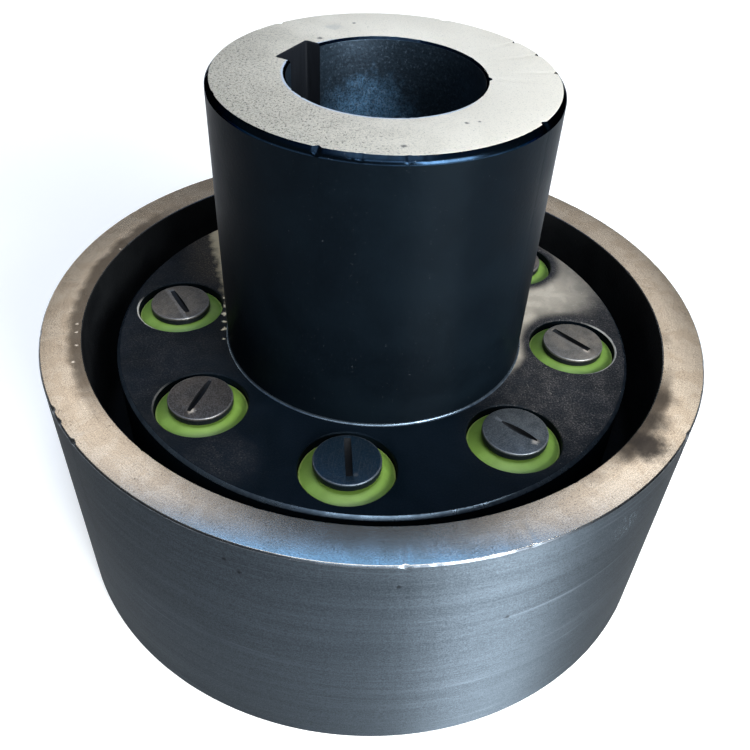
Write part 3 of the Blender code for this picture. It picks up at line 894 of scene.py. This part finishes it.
def makeSlotDark():
    # the slot's walls are coloured nearly black: painted shade inside the slot
    material, place = startMaterial("slotDark")
    marks = noise(place, 1.4, 3)
    shade = mixed(marks, (0.0015, 0.0017, 0.002), (0.009, 0.0095, 0.011))
    return shaded(material, shade, ease(marks, 0.3, 0.7, 0.5, 0.65), bump(marks, 0.08), {"Specular IOR Level": 0.15})


slotDark = makeSlotDark()
webTop, webBottom = drumSettings["webTop"], drumSettings["webBottom"]


def makePin(number):
    s = pinSettings
    low, high = pinBoxes[number]
    top, end = high.z + s["rises"][number], low.z
    under = top - s["headThickness"]
    core = s["thread"] - s["threadDepth"]
    threadStart = end + s["endChamfer"]
    threadStep = 0.25
    threadSteps = int((webBottom - 0.6 - threadStart) / threadStep)
    threadPoints = [(s["thread"], threadStart + threadStep * step, 0) for step in range(threadSteps)]
    corners = [(0, end, 0), (core - 0.2, end, 0), *threadPoints, (s["thread"], webBottom, 0),
               (s["taperEnd"], webBottom, 0), (s["shank"], webTop, 0), (s["shank"], under, 0),
               (s["head"], under, 0.2), (s["head"], top, s["headRounding"]), (0, top, 0)]
    outline = roundedOutline([(*corner, "steel") for corner in corners], steps=5)

    def threaded(radius, height, angle):
        # cuts the thread: crest, flanks and root over one pitch, and the end's chamfer
        if abs(radius - s["thread"]) > 0.01 or height > webBottom - 0.5:
            return radius, height
        share = ((height - end) / s["pitch"] - angle / (2 * pi)) % 1
        depth = s["threadDepth"] * min(max(abs(share - 0.5) * 2.6 - 0.3, 0), 1)
        fade = max(0, 1 - (height - end) / (s["endChamfer"] + 0.4))
        return radius - max(depth, fade * s["threadDepth"]), height

    finishes = {"steel": makePinSteel(number), "slot": slotDark}
    name = f"slottedPin{number + 1}"
    pin = newObject(name, turnedMesh(name, outline, s["turns"], finishes, threaded))
    cutAway(pin, slotCutter(number, top, finishes))
    pin.location = pinMoves[number].translation
    return dressed(pin, f"pin_{number + 1}")


for number in range(pinCount):
    makePin(number)
print("pins ready")


# Elastic bushes, bevelled at both ends and grooved between

bushSettings = {
    "turns": 96, "bevelFall": 2.8, "shoulder": 14.1, "bore": 10.3,
    "grooves": 2, "grooveDepth": 1.8, "grooveWidth": 4.5, "lip": 20.4,
}


def makeBushRubber():
    material, place = startMaterial("limeElastomer")
    radius = ringPlace(place)[0]
    patches = mottle(place, size=9, contrast=0.5)
    shade = mixed(patches, (0.112, 0.188, 0.028), (0.142, 0.238, 0.041))
    # a lighter line round the outer lip: painted highlight
    lip = edgeWearAndHighlight(place, distance=radius - bushSettings["lip"], width=0.8, ragged=0.3, grain=3)
    shade = mixed(lip * 0.4, shade, (0.42, 0.52, 0.15))
    shadow = ease(radius, 15.4, 14)
    shade = mixed(shadow * 0.5, shade, (0.05, 0.09, 0.012))
    dirt = specks(place, size=1.3, amount=0.06)
    shade = mixed(dirt * 0.4, shade, (0.03, 0.035, 0.015))
    grains = noise(place, 0.8, 3)
    return shaded(material, shade, ease(grains, 0.3, 0.7, 0.42, 0.52), bump(grains, 0.05), {"Specular IOR Level": 0.5})


bushRubber = makeBushRubber()


def makeBush(number):
    s = bushSettings
    low, high = nodeBox(f"elastic_bush_{number + 1}")
    radius, bottom, top = (high.x - low.x) / 2, low.z, high.z
    corners = [(s["bore"], bottom, 0.3), (s["shoulder"], bottom, 0.5), (radius, bottom + s["bevelFall"], 0.6)]
    span = top - bottom - 2 * s["bevelFall"]
    for groove in range(1, s["grooves"] + 1):
        middle = bottom + s["bevelFall"] + span * groove / (s["grooves"] + 1)
        corners += [(radius, middle - s["grooveWidth"] / 2, 0.4), (radius - s["grooveDepth"], middle, 0.9),
                    (radius, middle + s["grooveWidth"] / 2, 0.4)]
    corners += [(radius, top - s["bevelFall"], 0.7), (s["shoulder"], top, 0.5), (s["bore"], top, 0.3)]
    outline = roundedOutline([(*corner, "rubber") for corner in corners])
    name = f"elasticBush{number + 1}"
    bush = newObject(name, turnedMesh(name, outline, s["turns"], {"rubber": bushRubber}))
    bush.location = pinMoves[number].translation
    return dressed(bush, f"elastic_bush_{number + 1}")


for number in range(pinCount):
    makeBush(number)
print("bushes ready")


# Fasteners under the web

def makeFastenerSteel(name, dark, light, roughness):
    material, place = startMaterial(name)
    patches = mottle(place, size=5, contrast=0.6)
    shade = mixed(patches, dark, light)
    rust = specks(place, size=1.2, amount=0.12)
    shade = mixed(rust * 0.5, shade, (0.09, 0.05, 0.03))
    lines = scratches(place, angle=0.9, length=8, width=0.3, amount=0.5)
    shade = mixed(lines * 0.3, shade, (0.5, 0.5, 0.5))
    return shaded(material, shade, ease(patches, 0, 1, roughness + 0.1, roughness), bump(patches - rust, 0.04), {
        "Metallic": 0.95})


nutSteel = makeFastenerSteel("nutSteel", (0.14, 0.15, 0.16), (0.32, 0.33, 0.34), 0.34)
washerSteel = makeFastenerSteel("springWasherSteel", (0.05, 0.055, 0.06), (0.13, 0.135, 0.14), 0.4)
collarSteel = makeFastenerSteel("collarSteel", (0.1, 0.105, 0.11), (0.24, 0.245, 0.25), 0.4)

nutSettings = {"turns": 96, "bore": 8.35, "lead": 0.9, "flat": 12, "face": 11.1, "chamferAngle": 28, "turnStep": 17}


def makeNut(number):
    s = nutSettings
    low, high = nodeBox(f"pin_nut_{number + 1}")
    bottom, top, bore, lead, face = low.z, high.z, s["bore"], s["lead"], s["face"]
    corner, slope = s["flat"] / cos(pi / 6), tan(radians(s["chamferAngle"]))
    points = [(bore, bottom + lead), (bore + lead, bottom), (face, bottom), (corner, bottom),
              (corner, top), (face, top), (bore + lead, top), (bore, top - lead)]

    def hexagonal(radius, height, angle):
        # the outermost points follow the six flats, and the chamfer falls away towards the corners
        if radius < corner:
            return radius, height
        side = s["flat"] / cos(angle % (pi / 3) - pi / 6)
        fall = max(side - face, 0) * slope
        return side, (height + fall if height == bottom else height - fall)

    name = f"pinNut{number + 1}"
    outline = [(*point, "steel") for point in points]
    nut = newObject(name, turnedMesh(name, outline, s["turns"], {"steel": nutSteel}, hexagonal))
    nut.location = pinMoves[number].translation
    nut.rotation_euler.z = radians(number * s["turnStep"])
    return dressed(nut, f"pin_nut_{number + 1}", edgeAngle=24)


for number in range(pinCount):
    makeNut(number)
    for node, steel in ((f"spring_washer_{number + 1}", washerSteel), (f"bush_collar_{number + 1}", collarSteel)):
        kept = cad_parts[node]
        kept.data.materials.clear()
        kept.data.materials.append(steel)
print("fasteners ready")


# Floor, light and camera

studio = {
    "floorSize": 14, "floorDrop": 0.0002, "floorColour": (0.86, 0.855, 0.84), "floorGlow": 0.36,
    "glowTint": (1, 0.965, 0.92), "horizon": (0.17, 0.162, 0.15), "zenith": (0.12, 0.26, 0.5),
    # place, aim, size in metres, power in watts and tint of each
    "lamps": {
        "ceiling": ((0, -0.45, 2.05), (0, 0, 0), (1.4, 1.4), 15, (1, 0.985, 0.95)),
        "frontBox": ((0.08, -1.18, 1.17), (0, 0, 0.12), (0.9, 0.45), 6.2, (0.8, 0.91, 1)),
        "rightStrip": ((0.93, -1.16, 0.6), (0, 0, 0.1), (0.85, 1), 78, (0.92, 0.97, 1)),
        "upperLeft": ((-0.8, 1.26, 1.63), (0, 0, 0.13), (0.66, 0.46), 1.35, (1, 0.92, 0.81)),
        "upperRight": ((0.82, 1.26, 1.63), (0, 0, 0.13), (0.66, 0.46), 1.7, (1, 0.93, 0.83)),
        "lowerLeft": ((-0.7, 1.26, 1.28), (0, 0, 0.13), (0.66, 0.4), 0.5, (1, 0.9, 0.78)),
        "lowerRight": ((0.72, 1.26, 1.31), (0, 0, 0.13), (0.66, 0.38), 0.55, (1, 0.9, 0.76)),
        "skyPanel": ((0, 0.31, 1.27), (0, -0.15, 0.13), (0.8, 0.35), 1.8, (0.06, 0.4, 1)),
        "backRight": ((0.44, 1.53, 0.98), (0, 0, 0.14), (0.6, 0.4), 0.28, (1, 0.93, 0.84)),
        "backFill": ((-0.9, 1.3, 0.25), (0, 0, 0.08), (0.8, 0.4), 2.2, (1, 0.98, 0.95)),
    },
    "cameraElevation": 43.922, "cameraRoll": 3.06, "cameraDistance": 0.451549,
    "cameraAim": (0.001777, -0.014652, 0.063536), "lens": 40.562, "shift": (0.00403, 0.06973),
}


def makeFloor():
    material, place = startMaterial("paleFloor")
    kinds = ("Is Camera Ray", "Is Glossy Ray", "Is Transmission Ray")
    camera, glossy, transmission = (addNode(material.node_tree, "LightPath", output=kind) for kind in kinds)
    seen = calc("MAXIMUM", camera, calc("MAXIMUM", glossy, transmission))
    shaded(material, studio["floorColour"], 0.9, None, {
        "Specular IOR Level": 0, "Emission Color": studio["glowTint"],
        "Emission Strength": seen * studio["floorGlow"]})
    half = studio["floorSize"] / 2
    mesh = bpy.data.meshes.new("floor")
    mesh.from_pydata([(-half, -half, 0), (half, -half, 0), (half, half, 0), (-half, half, 0)], [], [(0, 1, 2, 3)])
    mesh.materials.append(material)
    floor = newObject("floor", mesh)
    floor.location.z = -studio["floorDrop"]


def makeLight():
    world = bpy.data.worlds.new("studio")
    bpy.context.scene.world = world
    world.use_nodes = True
    tree = world.node_tree
    tree.nodes.clear()
    up = axesOf(addNode(tree, "TexCoord", output="Generated"))[2]
    sky = mixed(ease(up, 0.62, 0.92), studio["horizon"], studio["zenith"])
    newNode(tree, "OutputWorld", {"Surface": addNode(tree, "Background", {"Color": sky, "Strength": 1})})
    for name, (place, aim, size, power, tint) in studio["lamps"].items():
        light = bpy.data.lights.new(name, "AREA")
        light.shape = "RECTANGLE"
        light.size, light.size_y = size
        light.energy = power
        light.color = tint
        holder = newObject(name, light)
        holder.location = place
        holder.rotation_mode = "QUATERNION"
        holder.rotation_quaternion = (Vector(aim) - Vector(place)).to_track_quat("-Z", "Y")
        holder.visible_camera = False


def makeCamera():
    elevation, roll = radians(studio["cameraElevation"]), radians(studio["cameraRoll"])
    back = Vector((0, -cos(elevation), sin(elevation)))
    right = Vector((1, 0, 0))
    up = back.cross(right)
    across = right * cos(roll) + up * sin(roll)
    over = up * cos(roll) - right * sin(roll)
    camera = bpy.data.cameras.new("camera")
    camera.lens = studio["lens"]
    camera.sensor_width = 36
    camera.shift_x, camera.shift_y = studio["shift"]
    camera.clip_start, camera.clip_end = 0.02, 60
    holder = newObject("camera", camera)
    turn = Matrix((across, over, back)).transposed().to_4x4()
    holder.matrix_world = Matrix.Translation(Vector(studio["cameraAim"]) + back * studio["cameraDistance"]) @ turn
    bpy.context.scene.camera = holder


makeFloor()
makeLight()
makeCamera()
bpy.context.scene.view_settings.view_transform = "Standard"
print("studio ready")
